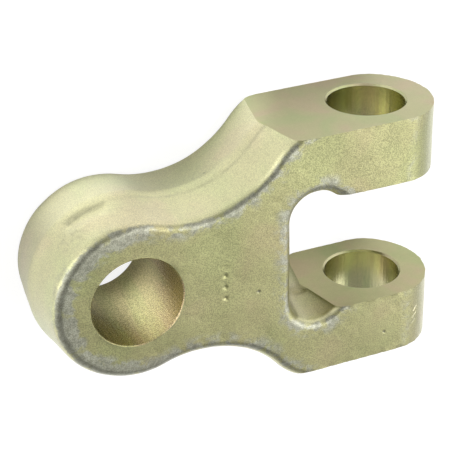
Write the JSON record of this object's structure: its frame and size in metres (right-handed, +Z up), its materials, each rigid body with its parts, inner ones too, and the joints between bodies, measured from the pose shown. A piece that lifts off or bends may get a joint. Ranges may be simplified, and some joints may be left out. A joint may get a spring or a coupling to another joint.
{
  "type": "forged yoke",
  "caption": "Forged steel yoke: a bored eye and a waisted neck that widens into a slotted fork, whose ears are bored for a cross pin. Yellow zinc finish.",
  "frame": {"origin": "centre of the eye bore, midway between the two flat forged faces (on the forging's parting plane)", "axes": "+X from the eye to the fork, +Y along the pin through the ears, +Z up along the eye bore; the yoke lies on one flat forged face"},
  "size_m": [0.1392, 0.085, 0.04],
  "materials": {
    "zinc_steel": "yellow zinc passivated: shot-blasted forged skin, smooth machined faces and bores"
  },
  "bodies": {
    "root": {"yoke": "zinc_steel"}
  },
  "joints": []
}
